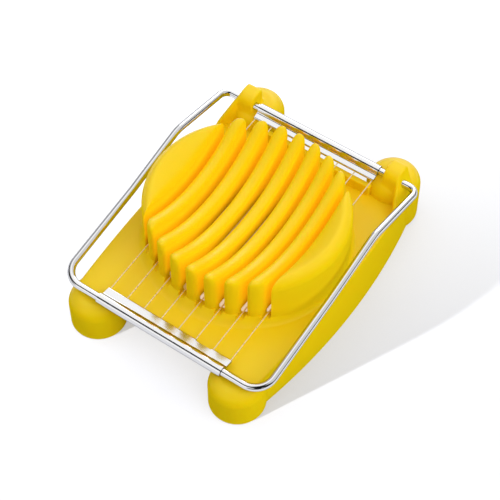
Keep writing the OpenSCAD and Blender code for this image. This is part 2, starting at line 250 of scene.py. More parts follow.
GROUPS = {
    "slicer_base": BaseSizes,
    "slicer_ears": EarSizes,
    "slicer_crown": CrownSizes,
    "slicer_wire": WireSizes,
    "slicer_strip": StripSizes,
    "slicer_finish": Finishes,
    "slicer_stage": StageSizes,
}


def in_millimetres(group):
    """The group's lengths as plain numbers in millimetres, and its other values as they are."""
    values = {}
    for key, prop in group.bl_rna.properties.items():
        if key in {"rna_type", "name"}:
            continue
        value = getattr(group, key)
        values[key] = value / MM if prop.unit == "LENGTH" else value
    return SimpleNamespace(**values)


# ---- mesh helpers


def mesh_of(bm, name="part"):
    """The bmesh as a mesh; the bmesh is freed."""
    mesh = bpy.data.meshes.new(name)
    bm.to_mesh(mesh)
    bm.free()
    return mesh


def part_from(bm):
    """A mesh from a finished bmesh, in millimetres, with its normals outwards."""
    bmesh.ops.remove_doubles(bm, verts=bm.verts, dist=1e-4)
    bmesh.ops.recalc_face_normals(bm, faces=bm.faces)
    return mesh_of(bm)


def verts_of(geometry):
    return [g for g in geometry if isinstance(g, bmesh.types.BMVert)]


def edges_of(geometry):
    return [g for g in geometry if isinstance(g, bmesh.types.BMEdge)]


def rim_of(bm):
    return [e for e in bm.edges if e.is_boundary]


def joined(meshes):
    """One mesh that holds several, which are then removed."""
    bm = bmesh.new()
    for mesh in meshes:
        bm.from_mesh(mesh)
        bpy.data.meshes.remove(mesh)
    return mesh_of(bm)


def mirrored(mesh):
    """The mesh and its mirror image across the part's middle plane."""
    bm = bmesh.new()
    bm.from_mesh(mesh)
    bmesh.ops.scale(bm, vec=(-1, 1, 1), verts=bm.verts)
    bmesh.ops.reverse_faces(bm, faces=bm.faces)
    return joined([mesh, mesh_of(bm)])


def applied(obj):
    """The object's mesh with its modifiers applied; the object is removed."""
    graph = bpy.context.evaluated_depsgraph_get()
    mesh = bpy.data.meshes.new_from_object(obj.evaluated_get(graph))
    old = obj.data
    bpy.data.objects.remove(obj)
    if old.users == 0:
        bpy.data.meshes.remove(old)
    return mesh


def linked(data, name="work"):
    """A new object of the scene with this mesh, lamp or camera."""
    obj = bpy.data.objects.new(name, data)
    bpy.context.collection.objects.link(obj)
    return obj


def carved(body, cutter):
    """The union of the shells in body, less the cutter's."""
    target = linked(body)
    tool = linked(cutter, "tool")
    step = target.modifiers.new("cut", "BOOLEAN")
    step.operation = "DIFFERENCE"
    step.solver = "EXACT"
    step.use_self = True
    step.object = tool
    bpy.context.view_layer.update()
    mesh = applied(target)
    bpy.data.objects.remove(tool)
    bpy.data.meshes.remove(cutter)
    return mesh


def fused(mesh):
    """The shells of a mesh grown together into one soft skin."""
    obj = linked(mesh)
    skin = obj.modifiers.new("skin", "REMESH")
    skin.mode = "VOXEL"
    skin.voxel_size = SKIN_VOXEL
    soften = obj.modifiers.new("soften", "SMOOTH")
    soften.factor = 0.5
    soften.iterations = SKIN_SMOOTHING
    bpy.context.view_layer.update()
    return applied(obj)


def bevel_edges(bm, edges, offset, segments):
    """Rounds these edges."""
    bmesh.ops.bevel(
        bm,
        geom=list(edges),
        offset=offset,
        offset_type="OFFSET",
        segments=segments,
        profile=0.5,
        affect="EDGES",
        clamp_overlap=True,
        material=-1,
    )


def block(x, y, z, edge=0.0, segments=4):
    """A box between pairs of coordinates, with rounded edges."""
    bm = bmesh.new()
    bmesh.ops.create_cube(bm, size=1)
    bmesh.ops.scale(bm, vec=(x[1] - x[0], y[1] - y[0], z[1] - z[0]), verts=bm.verts)
    middle = (sum(x) / 2, sum(y) / 2, sum(z) / 2)
    bmesh.ops.translate(bm, vec=middle, verts=bm.verts)
    if edge:
        bevel_edges(bm, bm.edges, edge, segments)
    return part_from(bm)


def prism(corners, step):
    """A bmesh of the closed outline through the corners, drawn out by a step."""
    bm = bmesh.new()
    face = bm.faces.new([bm.verts.new(corner) for corner in corners])
    grown = bmesh.ops.extrude_face_region(bm, geom=[face])["geom"]
    bmesh.ops.translate(bm, vec=step, verts=verts_of(grown))
    bmesh.ops.recalc_face_normals(bm, faces=bm.faces)
    return bm


def turned(outline, centre, steps=96):
    """A solid of revolution about an upright axis, from (radius, height) points."""
    bm = bmesh.new()
    points = [bm.verts.new((r, 0, z)) for r, z in outline]
    rim = [bm.edges.new(pair) for pair in zip(points, points[1:])]
    axis = {"cent": (0, 0, 0), "axis": (0, 0, 1), "angle": 2 * math.pi}
    bmesh.ops.spin(bm, geom=points + rim, steps=steps, use_merge=True, **axis)
    bmesh.ops.translate(bm, vec=(centre[0], centre[1], 0), verts=bm.verts)
    return part_from(bm)


def arc(centre, radius, start, end, steps):
    """Points on an arc in a plane, from one angle to another in degrees."""
    turn = (end - start) / steps
    angles = [math.radians(start + turn * i) for i in range(steps + 1)]
    return [(centre[0] + radius * math.cos(a), centre[1] + radius * math.sin(a)) for a in angles]


def rod(start, end, radius, sides=48):
    """A closed cylinder between two points."""
    start, end = Vector(start), Vector(end)
    bm = bmesh.new()
    bmesh.ops.create_cone(
        bm,
        cap_ends=True,
        segments=sides,
        radius1=radius,
        radius2=radius,
        depth=(end - start).length,
        matrix=Matrix.Translation((start + end) / 2)
        @ (end - start).to_track_quat("Z", "Y").to_matrix().to_4x4(),
    )
    return part_from(bm)


def shown(mesh, name, material, body, replaced):
    """The finished piece, in metres, riding on its body in place of its nodes."""
    mesh.name = name
    mesh.transform(Matrix.Scale(MM, 4))
    mesh.materials.clear()
    mesh.materials.append(material)
    mesh.shade_smooth()
    mesh.set_sharp_from_angle(angle=math.radians(SMOOTH))
    obj = linked(mesh, name)
    weigh = obj.modifiers.new("Weighted normals", "WEIGHTED_NORMAL")
    weigh.keep_sharp = True
    weigh.weight = 80
    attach(obj, body)
    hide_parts(*replaced)


# ---- base


def barrel_half(y, half, radius, wide_y):
    """Half width, at a place along the part, between two long arcs."""
    return half - radius + math.sqrt(radius * radius - (y - wide_y) ** 2)


def shell(b, inset, y, z, steps=64):
    """Solid between the flared skirts, from one end to the other."""
    bm = bmesh.new()
    bmesh.ops.create_cube(bm, size=1)
    along = [e for e in bm.edges if e.verts[0].co.y != e.verts[1].co.y]
    bmesh.ops.subdivide_edges(bm, edges=along, cuts=steps, use_grid_fill=True)
    for v in bm.verts:
        v.co.y = y[0] + (v.co.y + 0.5) * (y[1] - y[0])
        v.co.z = z[0] + (v.co.z + 0.5) * (z[1] - z[0])
        rise = v.co.z / b.deck_z
        low = barrel_half(v.co.y, b.skirt_x, b.skirt_arc, b.wide_y)
        high = barrel_half(v.co.y, b.deck_x, b.deck_arc, b.wide_y)
        v.co.x = math.copysign(low + (high - low) * rise - inset, v.co.x)
    return bm


def deck_and_skirts(b):
    """The deck with its flared skirts, still solid underneath."""
    bm = shell(b, 0, (b.front, b.tail), (0, b.deck_z))
    corners = [e for e in bm.edges if e.calc_face_angle(0) > CORNER]
    top = [e for e in corners if all(v.co.z > b.deck_z - HAIR for v in e.verts)]
    bevel_edges(bm, top, b.edge, 4)
    return part_from(bm)


def column(radius, top, rounding, foot, centre, foot_steps=5, top_steps=14):
    """A round leg with a rounded top edge and a small rounding at its foot."""
    outline = [(0, 0)]
    if foot:
        outline += arc((radius - foot, foot), foot, -90, 0, foot_steps)
    else:
        outline += [(radius, 0)]
    outline += arc((radius - rounding, top - rounding), rounding, 0, 90, top_steps)
    return turned(outline + [(0, top)], centre)


def front_leg(b):
    return column(b.leg_r, b.deck_z - 2 * HAIR, b.leg_round, b.foot_round, (b.leg_x, b.leg_y))


def ear_outline(b, e, w):
    """Side view of an ear: upright front, round nose, flat top."""
    low = b.deck_z - b.deck_t
    front, rear = w.hinge_y - e.fore, w.hinge_y + e.aft
    nose = arc((front + e.nose, e.top - e.nose), e.nose, 180, 90, 12)
    return [(front, low), *nose, (rear, e.top), (rear + e.lean, low)]


def wing(b, e, w):
    """Brace from the ear's outer face out and forward to the deck's edge."""
    bite, toe, short = 0.5, 2, 1  # into the ear, run of the first rise, ahead of the leg's middle
    low = b.deck_z - b.deck_t
    outer = b.deck_x - e.wing_inset
    front, rear = w.hinge_y - e.wing_fore, b.tail_y - short
    inside = [(e.x + e.t - bite, y, z) for y, z in ear_outline(b, e, w)]
    edge = [
        (front, low),
        (front, b.deck_z),
        (front + toe, b.deck_z + e.wing_low),
        (rear, b.deck_z + e.wing_high),
        (rear, low),
    ]
    bm = bmesh.new()
    for point in inside + [(outer, y, z) for y, z in edge]:
        bm.verts.new(point)
    bmesh.ops.convex_hull(bm, input=bm.verts)
    return part_from(bm)


def rear_leg_and_ear(b, e, w):
    """A rear leg, its ear and its wing, grown together as they are moulded."""
    leg = column(b.tail_r, b.tail_z, b.leg_round, b.foot_round, (b.tail_x, b.tail_y))
    bm = prism([(e.x, y, z) for y, z in ear_outline(b, e, w)], (e.t, 0, 0))
    corners = [x for x in bm.edges if x.calc_face_angle(0) > CORNER]
    rim = [x for x in corners if max(v.co.z for v in x.verts) > b.deck_z]
    bevel_edges(bm, rim, e.edge, 3)
    return fused(joined([leg, part_from(bm), wing(b, e, w)]))


def rim_height(c, height, y):
    """Height of the sloping rim at a place along the part."""
    return height + math.tan(c.slope) * (y - c.y)


def bowl_height(c, x, y, inset=0):
    """Height of the egg cradle over a point, or of a surface under it by an inset."""
    radius = c.bowl_r + inset
    return c.bowl_z + c.bowl_r - math.sqrt(radius**2 - x * x - (y - c.bowl_y) ** 2)


def soft_min(a, b, reach):
    """The lower of two values, rounded where they are nearly alike."""
    near = max(reach - abs(a - b), 0) / reach
    return min(a, b) - near * near * reach / 4


def crown_end(c, x):
    """Half length of the crown's outline at a distance from the middle."""
    return math.sqrt(c.end_arc**2 - x * x) - (c.end_arc - c.half_y)


def softened(points, passes):
    """The points of an open line with its corners rounded; the ends stay."""
    for _ in range(passes):
        inner = zip(points, points[1:], points[2:])
        middle = [tuple((a + 2 * b + c) / 4 for a, b, c in zip(p, q, r)) for p, q, r in inner]
        points = [points[0], *middle, points[-1]]
    return points


def fin_outline(c, x, x_mid, low, inset):
    """Side view of a fin, drawn in by an inset: up its front, along the cradle, down its back."""
    reach = crown_end(c, x) - inset
    front, rear = c.y - reach, c.y + reach
    rise = round((c.rim_z - low) / c.fin_step)
    run = round(2 * c.half_y / c.fin_step)

    def top(y):
        bowl = bowl_height(c, x_mid, y, inset)
        return soft_min(bowl, rim_height(c, c.rim_z, y) - inset, c.blend)

    line = [(front, low + (top(front) - low) * i / rise) for i in range(rise)]
    line += [(y, top(y)) for y in (front + 2 * reach * i / run for i in range(run))]
    line += [(rear, top(rear) + (low - top(rear)) * i / rise) for i in range(rise + 1)]
    return softened(line, round((c.end_round / c.fin_step) ** 2))


def fin(c, index, steps=6):
    """One fin, with its edge rounded all the way along."""
    x_mid = (index - (c.fins - 1) / 2) * c.pitch
    low = c.slot_z - ROOT
    turns = [math.radians(90 * i / steps) for i in range(steps + 1)]
    side = [
        (c.fin_t / 2 - c.fin_round * (1 - math.cos(a)), c.fin_round * (1 - math.sin(a)))
        for a in turns
    ]
    across = [(-x, inset) for x, inset in side] + side[::-1]
    bm = bmesh.new()
    rows = []
    for x, inset in across:
        line = fin_outline(c, x_mid + x, x_mid, low, inset)
        rows.append([bm.verts.new((x_mid + x, y, z)) for y, z in line])
    for near, far in zip(rows, rows[1:]):
        for corners in zip(near, near[1:], far[1:], far):
            bm.faces.new(corners)
    bm.faces.new(rows[0])
    bm.faces.new(rows[-1])
    bm.faces.new([row[0] for row in rows] + [row[-1] for row in reversed(rows)])
    return part_from(bm)


def segment_x(c):
    """Inner face of an outer segment."""
    return (c.fins / 2) * c.pitch + (c.pitch - c.fin_t) / 2


def side_arc(c):
    """Centre and radius of the crown's side arcs."""
    flat = c.end_arc - c.half_y
    lean = c.end_arc - c.half_x
    centre = (flat**2 - lean**2) / (2 * lean)
    return centre, c.half_x - centre


def wall_radius(c, turn):
    """Distance of the crown's oval wall from its middle, in a direction."""
    cx, sy = abs(math.cos(turn)), abs(math.sin(turn))
    flat = c.end_arc - c.half_y
    end = -flat * sy + math.sqrt(c.end_arc**2 - (flat * cx) ** 2)
    if end * cx <= segment_x(c):
        return end
    centre, radius = side_arc(c)
    return centre * cx + math.sqrt(radius**2 - (centre * sy) ** 2)


def outer_segment(c, along=72, across=30):
    """The round-shouldered segment outside the last slot."""
    inner = segment_x(c)
    side_e, side_r = side_arc(c)
    half = math.sqrt(side_r**2 - (inner - side_e) ** 2)
    low = c.slot_z - ROOT
    short = 0.999  # keeps the two ends from closing to a line

    def height(x, y):
        out = math.hypot(x - side_e, y - c.y) - (side_r - c.seg_round)
        out = min(max(out, 0), c.seg_round)
        shoulder = rim_height(c, c.seg_z, y) - c.seg_round
        shoulder += math.sqrt(c.seg_round**2 - out * out)
        edge = min(max(inner + c.seg_edge - x, 0), c.seg_edge)
        bowl = bowl_height(c, x, y) - c.seg_edge + math.sqrt(c.seg_edge**2 - edge * edge)
        return soft_min(shoulder, bowl, c.seg_blend)

    bm = bmesh.new()
    bmesh.ops.create_grid(bm, x_segments=across, y_segments=along, size=1)
    for v in bm.verts:
        y = half * math.sin(v.co.y * math.pi / 2) * short
        outer = side_e + math.sqrt(side_r**2 - y * y)
        part = (1 - math.cos((v.co.x + 1) / 2 * math.pi)) / 2
        x = inner + (outer - inner) * part
        v.co = (x, c.y + y, height(x, c.y + y))
    skirt = bmesh.ops.extrude_edge_only(bm, edges=rim_of(bm))["geom"]
    for v in verts_of(skirt):
        v.co.z = low
    bmesh.ops.holes_fill(bm, edges=rim_of(bm), sides=0)
    return part_from(bm)


def crown_foot(c, b, sides=192, rings=7, tuck=0.8):
    """Concave foot between the crown's oval wall and the round ring on the deck."""
    # Each row: how far it is tucked into the wall, its share of the way out, and whether it is
    # a row of the curved face or lies under the deck.
    curved = [(0, i / rings, True) for i in range(rings + 1)]
    rows = [(tuck, 0, False), (tuck, 0, True), *curved, (0, 1, False)]
    bm = bmesh.new()
    bmesh.ops.create_circle(bm, cap_ends=False, segments=sides, radius=1)
    verts, edges = list(bm.verts), list(bm.edges)
    for i, (tucked, out, raised) in enumerate(rows):
        if i:
            grown = bmesh.ops.extrude_edge_only(bm, edges=edges)["geom"]
            verts, edges = verts_of(grown), edges_of(grown)
        for v in verts:
            turn = math.atan2(v.co.y, v.co.x)
            wall = wall_radius(c, turn)
            r = wall - tucked + (c.foot_r - wall) * out
            rise = min(c.foot_r - wall, c.foot_h) * (1 - out) ** 2
            z = b.deck_z + rise if raised else b.deck_z - b.deck_t
            v.co = (r * math.cos(turn), r * math.sin(turn), z)
    bmesh.ops.bridge_loops(bm, edges=rim_of(bm))
    bmesh.ops.translate(bm, vec=(0, c.y, 0), verts=bm.verts)
    return part_from(bm)


def upright(outline, low, high):
    """A prism over a closed outline in plan."""
    return part_from(prism([(x, y, low) for x, y in outline], (0, 0, high - low)))


def crown_sill(c, b, sides=192):
    """The crown's wall under the slots."""
    outline = []
    for i in range(sides):
        turn = 2 * math.pi * i / sides
        r = wall_radius(c, turn)
        outline.append((r * math.cos(turn), c.y + r * math.sin(turn)))
    return upright(outline, b.deck_z - b.deck_t, c.slot_z - HAIR)


def crown_hollow(c, steps=40):
    """Room under the fins, inside the crown's wall."""
    radius = c.end_arc - c.wall
    flat = c.end_arc - c.half_y
    side = c.half_x - c.wall
    spread = math.degrees(math.asin(side / radius))
    front = arc((0, c.y + flat), radius, 270 - spread, 270 + spread, steps)
    rear = arc((0, c.y - flat), radius, 90 - spread, 90 + spread, steps)
    return upright(front + rear, BELOW, c.under)


def segment_hollow(c):
    """Room inside an outer segment, so that its wall stays thin."""
    wall, half, top = 2.2, 12, 11.5  # beside the slot, along the part, over the fins' underside
    centre, radius = side_arc(c)
    inner = segment_x(c) + wall
    reach = radius - c.wall
    spread = math.degrees(math.asin(half / reach))
    outline = [(inner, c.y - half)] + arc((centre, c.y), reach, -spread, spread, 24)
    return upright(outline + [(inner, c.y + half)], c.under - 1, c.under + top)


def slot_cutters(c):
    """Upright slots between the fins."""
    half = (c.pitch - c.fin_t) / 2
    reach = c.half_y + 6
    y, z = (c.y - reach, c.y + reach), (c.slot_z, c.rim_z + PAST)
    middles = [(i - c.fins / 2) * c.pitch for i in range(c.fins + 1)]
    return joined([block((x - half, x + half), y, z) for x in middles])


def base_mesh(b, e, c, w):
    """The moulded base as one closed skin."""
    lip_short, gap_short, lip_edge = 4, 7, 0.4  # short of a rear leg's middle; rounding
    roof = b.deck_z - b.deck_t
    under = part_from(shell(b, b.wall, (b.front - 5, b.tail + 5), (-1, roof)))
    half = b.tail_x - gap_short
    behind = block((-half, half), (b.rear, b.tail + PAST), (BELOW, b.deck_z + PAST))
    deck = carved(deck_and_skirts(b), joined([under, behind]))
    foot = carved(crown_foot(c, b), slot_cutters(c))
    fins = joined([fin(c, i) for i in range(c.fins)])
    half = b.tail_x - lip_short
    lip = block((-half, half), (b.rear - b.lip_t, b.rear), (b.lip_under, b.lip_z), lip_edge, 3)
    legs = [mirrored(front_leg(b)), mirrored(rear_leg_and_ear(b, e, w))]
    crown = [foot, fins, mirrored(outer_segment(c)), crown_sill(c, b)]
    dome = b.leg_round - b.wall
    hollows = joined([
        column(b.leg_r - b.wall, roof, dome, 0, (b.leg_x, b.leg_y)),
        column(b.tail_r - b.wall, b.tail_z - b.deck_t, dome, 0, (b.tail_x, b.tail_y)),
    ])
    hollows.transform(Matrix.Translation((0, 0, -HAIR)))
    tools = [
        crown_hollow(c),
        mirrored(segment_hollow(c)),
        mirrored(hollows),
        rod((-ACROSS, w.hinge_y, w.hinge_z), (ACROSS, w.hinge_y, w.hinge_z), e.bore),
    ]
    return carved(joined([deck, lip] + legs + crown), joined(tools))


# ---- wire parts


def bent_wire(path, bends, radius, sides=28, turn_per_step=5):
    """A round wire along corner points, with an arc of its own radius at each corner."""
    path = [Vector(p) for p in path]
    bm = bmesh.new()
    run = (path[1] - path[0]).normalized()
    bmesh.ops.create_circle(
        bm,
        cap_ends=False,
        segments=sides,
        radius=radius,
        matrix=Matrix.Translation(path[0]) @ run.to_track_quat("Z", "Y").to_matrix().to_4x4(),
    )
    ring = list(bm.edges)
    here = path[0]
    for i, bend in enumerate(bends, start=1):
        before = (path[i] - path[i - 1]).normalized()
        after = (path[i + 1] - path[i]).normalized()
        turn = before.angle(after)
        start = path[i] - before * bend * math.tan(turn / 2)
        ring = pulled(bm, ring, start - here)
        axis = before.cross(after).normalized()
        centre = start + axis.cross(before) * bend
        spun = bmesh.ops.spin(
            bm,
            geom=ring + list(dict.fromkeys(v for e in ring for v in e.verts)),
            cent=centre,
            axis=axis,
            angle=turn,
            steps=max(6, round(math.degrees(turn) / turn_per_step)),
        )
        ring = edges_of(spun["geom_last"])
        here = path[i] + after * bend * math.tan(turn / 2)
    pulled(bm, ring, path[-1] - here)
    bmesh.ops.holes_fill(bm, edges=rim_of(bm), sides=sides)
    return part_from(bm)


def pulled(bm, ring, step):
    """The ring of edges drawn out by a step; its new ring."""
    grown = bmesh.ops.extrude_edge_only(bm, edges=ring)["geom"]
    bmesh.ops.translate(bm, vec=step, verts=verts_of(grown))
    return edges_of(grown)


def frame_wire_mesh(w):
    """The bent frame: in from one ear, round the front and back to the other ear."""
    half = [
        (w.end_gap / 2, w.hinge_y, w.hinge_z),
        (w.rail_x, w.hinge_y, w.hinge_z),
        (w.rail_x, w.bend2_y, w.bend2_z),
        (w.rail_x, w.bend1_y, w.bend1_z),
        (w.rail_x, w.bar_y, w.bar_z),
    ]
    other = [(-x, y, z) for x, y, z in reversed(half)]
    bends = [w.knee_r, w.bend_r, w.bend_r, w.corner_r]
    return bent_wire(half + other, bends + bends[::-1], w.frame_d / 2)


def strip_mesh(t, y, z, run, rise, notch=0.0):
    """A strip folded round a bar at (y, z), its flange running off to one side."""
    reach = math.hypot(run, rise)
    low = t.sheet / 2 + t.fillet
    start = math.sqrt((t.sleeve_r + t.fillet) ** 2 - low * low)
    lean = math.degrees(math.atan2(low, start))
    bend = arc((start, low), t.fillet, 180 + lean, 270, 12)
    edge = arc((reach - t.sheet / 2, 0), t.sheet / 2, 90, -90, 10)
    back = arc((0, 0), t.sleeve_r, lean, 360 - lean, 72)
    outline = bend + edge + [(u, -v) for u, v in reversed(bend)] + back[::-1][1:-1]
    out, up = run / reach, rise / reach
    corners = [(-t.half_x, y + u * out - v * up, z + u * up + v * out) for u, v in outline]
    tools = [rod((-ACROSS, y, z), (ACROSS, y, z), t.bore)]
    if notch:
        past = 2
        x = (notch - t.notch_w / 2, notch + t.notch_w / 2)
        rim = (y + run - t.notch_t, y + run + past)
        tools.append(block(x, rim, (z + rise - past, z + rise + past)))
    return carved(part_from(prism(corners, (2 * t.half_x, 0, 0))), joined(tools))


# ---- finishes


def feed(slot, value):
    """An input linked to a socket or set to a plain value."""
    if isinstance(value, bpy.types.NodeSocket):
        slot.id_data.links.new(value, slot)
    else:
        slot.default_value = value


def set_inputs(node, **values):
    """The node, with inputs fed by name."""
    for key, value in values.items():
        feed(node.inputs[key.replace("_", " ")], value)
    return node


def added(tree, kind, **values):
    """A new shader node of a kind, with inputs fed by name."""
    return set_inputs(tree.nodes.new("ShaderNode" + kind), **values)


def maths(tree, operation, *operands):
    """A math node between values and sockets; its output."""
    node = added(tree, "Math")
    node.operation = operation
    for slot, value in zip(node.inputs, operands):
        feed(slot, value)
    return node.outputs["Value"]


def ramp(tree, value, stops):
    """A value sent through grey stops, from (position, shade) pairs."""
    node = added(tree, "ValToRGB", Fac=value)
    node.color_ramp.interpolation = "EASE"
    elements = node.color_ramp.elements
    for element, (at, shade) in zip(elements, (stops[0], stops[-1])):
        element.position = at
        element.color = (shade, shade, shade, 1)
    for at, shade in stops[1:-1]:
        elements.new(at).color = (shade, shade, shade, 1)
    return node.outputs["Color"]


def mixed(tree, factor, first, second):
    """Two colours mixed by a factor; the output."""
    node = added(tree, "Mix")
    node.data_type = "RGBA"
    set_inputs(node, Factor=factor, A=(*first, 1), B=(*second, 1))
    return node.outputs["Result"]


def axes(tree, output):
    """The three coordinates of one output of a texture coordinate node."""
    split = added(tree, "SeparateXYZ", Vector=added(tree, "TexCoord").outputs[output])
    return [split.outputs[axis] for axis in "XYZ"]


def surface_unevenness():
    """Shared effect: a faint waviness and fine grain that change roughness and normal."""
    group = bpy.data.node_groups.new("Surface unevenness", "ShaderNodeTree")
    inputs = "Wave scale, Wave height, Grain scale, Grain height, Roughness low, Roughness high"
    for name in inputs.split(", "):
        group.interface.new_socket(name, in_out="INPUT", socket_type="NodeSocketFloat")
    for name, kind in (("Roughness", "Float"), ("Mask", "Float"), ("Normal", "Vector")):
        group.interface.new_socket(name, in_out="OUTPUT", socket_type="NodeSocket" + kind)
    given = group.nodes.new("NodeGroupInput").outputs
    place = added(group, "TexCoord").outputs["Object"]
    scale, fine_scale = given["Wave scale"], given["Grain scale"]
    wave = added(group, "TexNoise", Vector=place, Scale=scale, Detail=3).outputs["Fac"]
    grain = added(group, "TexNoise", Vector=place, Scale=fine_scale, Detail=2).outputs["Fac"]
    low, high = given["Roughness low"], given["Roughness high"]
    spread = added(group, "MapRange", Value=wave, To_Min=low, To_Max=high)
    big = added(group, "Bump", Height=wave, Strength=given["Wave height"], Distance=MM)
    small = added(
        group,
        "Bump",
        Height=grain,
        Strength=given["Grain height"],
        Distance=0.1 * MM,
        Normal=big.outputs["Normal"],
    )
    end = group.nodes.new("NodeGroupOutput")
    rough, bumps = spread.outputs["Result"], small.outputs["Normal"]
    set_inputs(end, Roughness=rough, Mask=wave, Normal=bumps)
    return group


def new_material(name, waves, grain, roughness, light, deep, drift):
    """A material with the shared unevenness, whose colour drifts between two tints.

    Waves and grain are (scale, height) pairs, and roughness is a (low, high) pair.
    """
    material = bpy.data.materials.new(name)
    material.use_nodes = True
    tree = material.node_tree
    uneven = added(tree, "Group")
    uneven.node_tree = bpy.data.node_groups.get("Surface unevenness") or surface_unevenness()
    set_inputs(
        uneven,
        Wave_scale=waves[0],
        Wave_height=waves[1],
        Grain_scale=grain[0],
        Grain_height=grain[1],
        Roughness_low=roughness[0],
        Roughness_high=roughness[1],
    )
    part_way = maths(tree, "MULTIPLY", uneven.outputs["Mask"], drift)
    shader = set_inputs(
        tree.nodes["Principled BSDF"],
        Base_Color=mixed(tree, part_way, light, deep),
        Roughness=uneven.outputs["Roughness"],
        Normal=uneven.outputs["Normal"],
    )
    return material, shader


def cover_node(tree, distance):
    """How open each place is to its surroundings within a distance in millimetres."""
    node = added(tree, "AmbientOcclusion", Distance=distance * MM)
    node.samples = 8
    return node.outputs["AO"]


def moulded_plastic(colours):
    """Glossy yellow moulding whose narrow slots get a painted orange glow, an emission that
    stands in for light passing through the plastic and bouncing between the fins.
    """
    material, shader = new_material(
        "Moulded plastic",
        waves=(60.0, 0.03),
        grain=(3000.0, 0.15),
        roughness=(0.34, 0.46),
        light=colours.plastic,
        deep=colours.plastic_deep,
        drift=0.25,
    )
    tree = material.node_tree
    openness = cover_node(tree, 8)
    # Painted glow: an emission that is strongest in half-closed hollows such as the slots and
    # faint on open faces.
    painted_glow = ramp(tree, openness, ((0.0, 0.16), (0.35, 0.24), (0.55, 0.16), (0.75, 0.06)))
    # The painted glow is only on the crown's thin walls: from a height of 16.8 mm, and fully from
    # 20.8 mm.
    height = maths(tree, "MULTIPLY", axes(tree, "Object")[2], 1 / (40 * MM))
    thin = ramp(tree, height, ((0.42, 0.0), (0.52, 1.0)))
    facing_up = ramp(tree, axes(tree, "Normal")[2], ((0.45, 0.0), (1.0, 0.5)))
    set_inputs(
        shader,
        IOR=1.49,
        Specular_IOR_Level=maths(tree, "MULTIPLY", facing_up, openness),
        Subsurface_Weight=0.3,
        Subsurface_Radius=(1.0, 0.5, 0.1),
        Subsurface_Scale=1.5 * MM,
        Emission_Color=(*colours.painted_glow, 1),
        Emission_Strength=maths(tree, "MULTIPLY", painted_glow, thin),
    )
    return material


def plated_chrome(colours, name="Plated chrome", roughness=(0.05, 0.12)):
    """Bright nickel-chrome plating on drawn wire, or on sheet with a rougher skin."""
    material, shader = new_material(
        name,
        waves=(160.0, 0.04),
        grain=(4000.0, 0.1),
        roughness=roughness,
        light=colours.chrome,
        deep=[v * 0.93 for v in colours.chrome],
        drift=0.5,
    )
    set_inputs(shader, Metallic=1.0, Specular_Tint=(0.35, 0.36, 0.39, 1))
    return material


def drawn_steel(colours):
    """Thin drawn steel wire."""
    material, shader = new_material(
        "Drawn steel",
        waves=(400.0, 0.02),
        grain=(6000.0, 0.2),
        roughness=(0.22, 0.34),
        light=colours.steel,
        deep=[v * 0.9 for v in colours.steel],
        drift=0.5,
    )
    set_inputs(shader, Metallic=0.6)
    return material


def finish_of(name, build, *args):
    """The material of this name, built if it isn't there yet."""
    return bpy.data.materials.get(name) or build(*args)


def refinish(node, material):
    """Puts a better material on a CAD node that keeps its shape."""
    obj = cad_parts[node]
    if not obj.data.materials:
        obj.data.materials.append(material)
    for slot in obj.material_slots:
        slot.material = material


# ---- stage


def seen_by(tree, *kinds):
    """1 for these kinds of ray, 0 for all others."""
    path = added(tree, "LightPath").outputs
    seen = path[kinds[0]]
    for kind in kinds[1:]:
        seen = maths(tree, "MAXIMUM", seen, path[kind])
    return seen


def slanting(tree, first, second):
    """A coordinate along a slanting axis, from two (share, coordinate) pairs."""
    (share_a, a), (share_b, b) = first, second
    return maths(tree, "MULTIPLY_ADD", a, share_a, maths(tree, "MULTIPLY", b, share_b))


def floor_material(colours):
    """Pale floor that reads white to the camera, keeps a shadow with a painted fade to the back,
    and has painted shade around and under the part.
    """
    material = bpy.data.materials.new("Pale floor")
    material.use_nodes = True
    tree = material.node_tree
    seen = seen_by(tree, "Is Camera Ray", "Is Glossy Ray", "Is Transmission Ray")
    x, y, _ = axes(tree, "Object")
    # Under the lamps the floor is white from the part to the back. In front, its painted lift is
    # darker, so that the low sun's shadow shows, and the shadow is painted to fade as the white
    # takes over.
    growth, middle, darkest = 1.05, 0.625, 0.48
    back = slanting(tree, (2.36, y), (-1.6, x))
    fade = maths(tree, "MULTIPLY_ADD", back, growth, middle)
    bounded = maths(tree, "MINIMUM", maths(tree, "MAXIMUM", fade, darkest), 1.0)
    # 0 in a box of 59 by 62 mm under the part, and 1 outside one of 67 by 70 mm.
    across = maths(tree, "MULTIPLY", maths(tree, "ABSOLUTE", x), 25.0)
    lengthwise = maths(tree, "MULTIPLY", maths(tree, "ABSOLUTE", y), 24.0)
    outside = ramp(tree, maths(tree, "MAXIMUM", across, lengthwise), ((0.74, 0.0), (0.84, 1.0)))
    # Painted shade and bounce light: under the part the floor is painted tan, as if shaded by the
    # part and lit yellow through it.
    painted_under_shade = mixed(tree, outside, colours.under, (1, 1, 1))
    # Painted contact shade: the floor's white is dimmed where the part closes it in.
    painted_contact_shade = ramp(tree, cover_node(tree, 45), ((0.2, 0.8), (0.8, 1.0)))
    open_floor = maths(tree, "MULTIPLY_ADD", bounded, painted_contact_shade, -1.0)
    strength = maths(tree, "MULTIPLY_ADD", open_floor, outside, 1.0)
    set_inputs(
        tree.nodes["Principled BSDF"],
        Base_Color=(*colours.floor, 1),
        Roughness=0.9,
        Specular_IOR_Level=0.0,
        Emission_Color=painted_under_shade,
        Emission_Strength=maths(tree, "MULTIPLY", strength, seen),
    )
    return material


